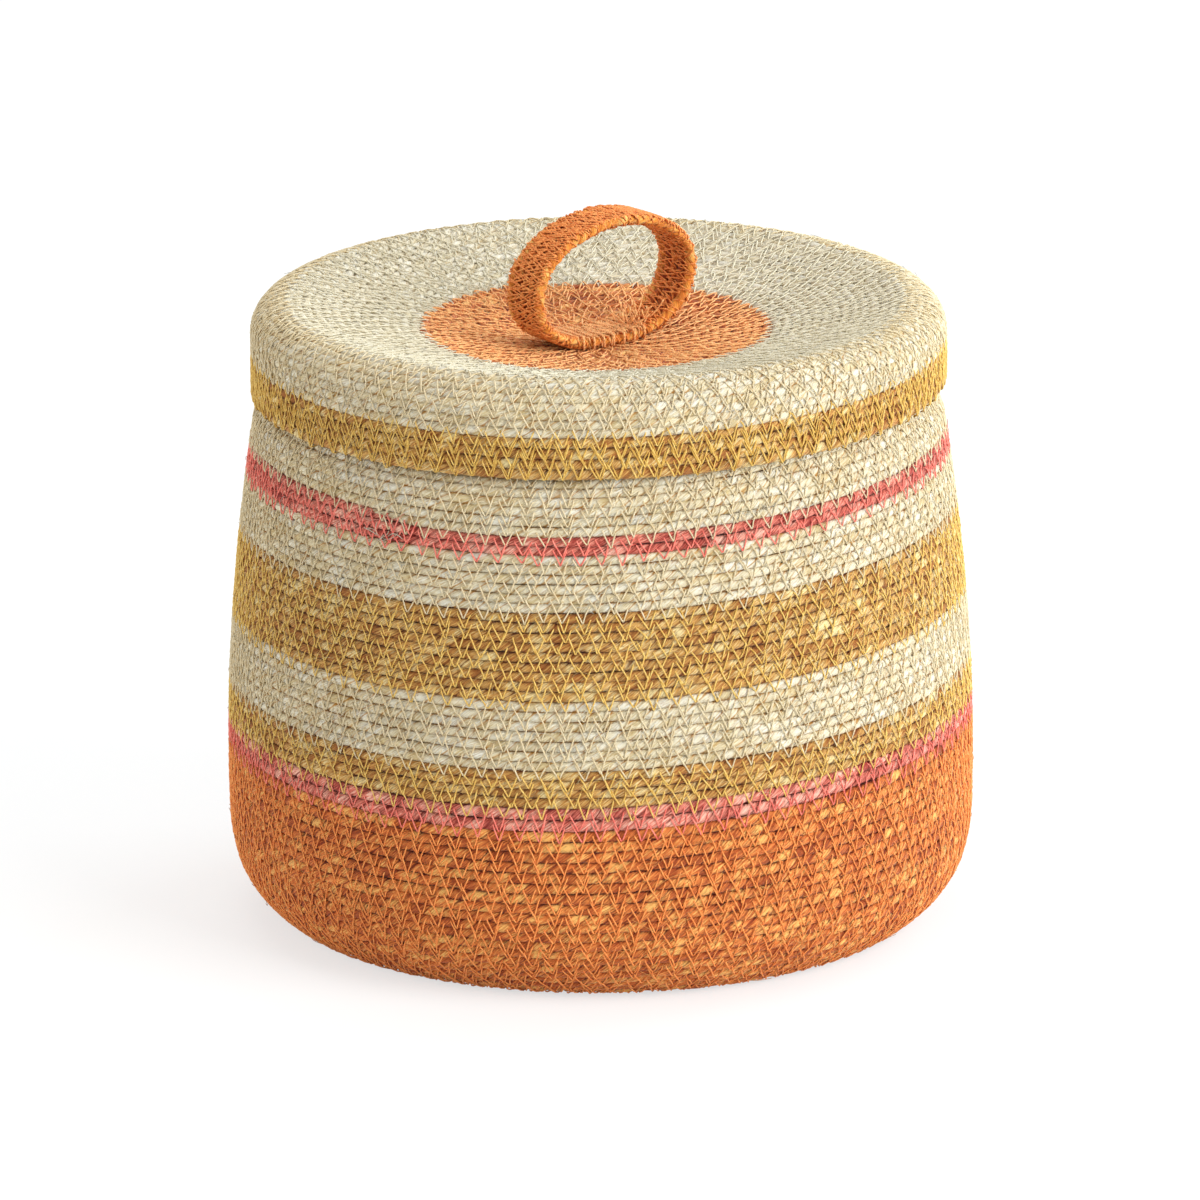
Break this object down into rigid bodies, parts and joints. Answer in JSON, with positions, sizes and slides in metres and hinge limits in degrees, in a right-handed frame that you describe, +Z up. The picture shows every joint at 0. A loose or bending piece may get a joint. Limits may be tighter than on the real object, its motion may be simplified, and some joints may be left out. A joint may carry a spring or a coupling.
{
  "type": "lidded coiled basket",
  "caption": "Round-bellied basket of coiled and sewn seagrass rope in coloured bands, with a dished drop-on lid and a ring-shaped strap handle.",
  "frame": {"origin": "centre of the flat base, on the surface the basket stands on", "axes": "+Z up along the basket's axis, +X along the handle's ring"},
  "size_m": [0.3012, 0.3012, 0.2886],
  "materials": {
    "natural_seagrass": "undyed twisted seagrass rope, sewn with raffia-coloured thread",
    "mustard_seagrass": "mustard-dyed twisted seagrass rope, sewn with gold thread",
    "pink_seagrass": "pink-dyed twisted seagrass rope, sewn with pink thread",
    "orange_seagrass": "orange-dyed twisted seagrass rope, sewn with orange thread",
    "handle_seagrass": "deep orange rope strap, densely sewn and wrapped at its edges",
    "orange_thread": "orange sewing thread"
  },
  "bodies": {
    "basket": {"base_coil": "orange_seagrass", "wall_orange": "orange_seagrass", "wall_pink_lower": "pink_seagrass", "wall_mustard_lower": "mustard_seagrass", "wall_natural_lower": "natural_seagrass", "wall_mustard_upper": "mustard_seagrass", "wall_natural_middle": "natural_seagrass", "wall_pink_upper": "pink_seagrass", "wall_natural_rim": "natural_seagrass"},
    "lid": {"lid_skirt_mustard": "mustard_seagrass", "lid_shoulder_natural": "natural_seagrass", "lid_dish_natural": "natural_seagrass", "lid_centre_orange": "orange_seagrass", "handle_strap": "handle_seagrass", "handle_stitch_1": "orange_thread", "handle_stitch_2": "orange_thread", "handle_stitch_3": "orange_thread", "handle_stitch_4": "orange_thread", "handle_stitch_5": "orange_thread", "handle_stitch_6": "orange_thread", "handle_stitch_7": "orange_thread"}
  },
  "joints": [
    {"name": "lid_lift", "type": "slide", "parent": "basket", "child": "lid", "axis": [0, 0, 1], "range_m": [0, 0.12]}
  ]
}
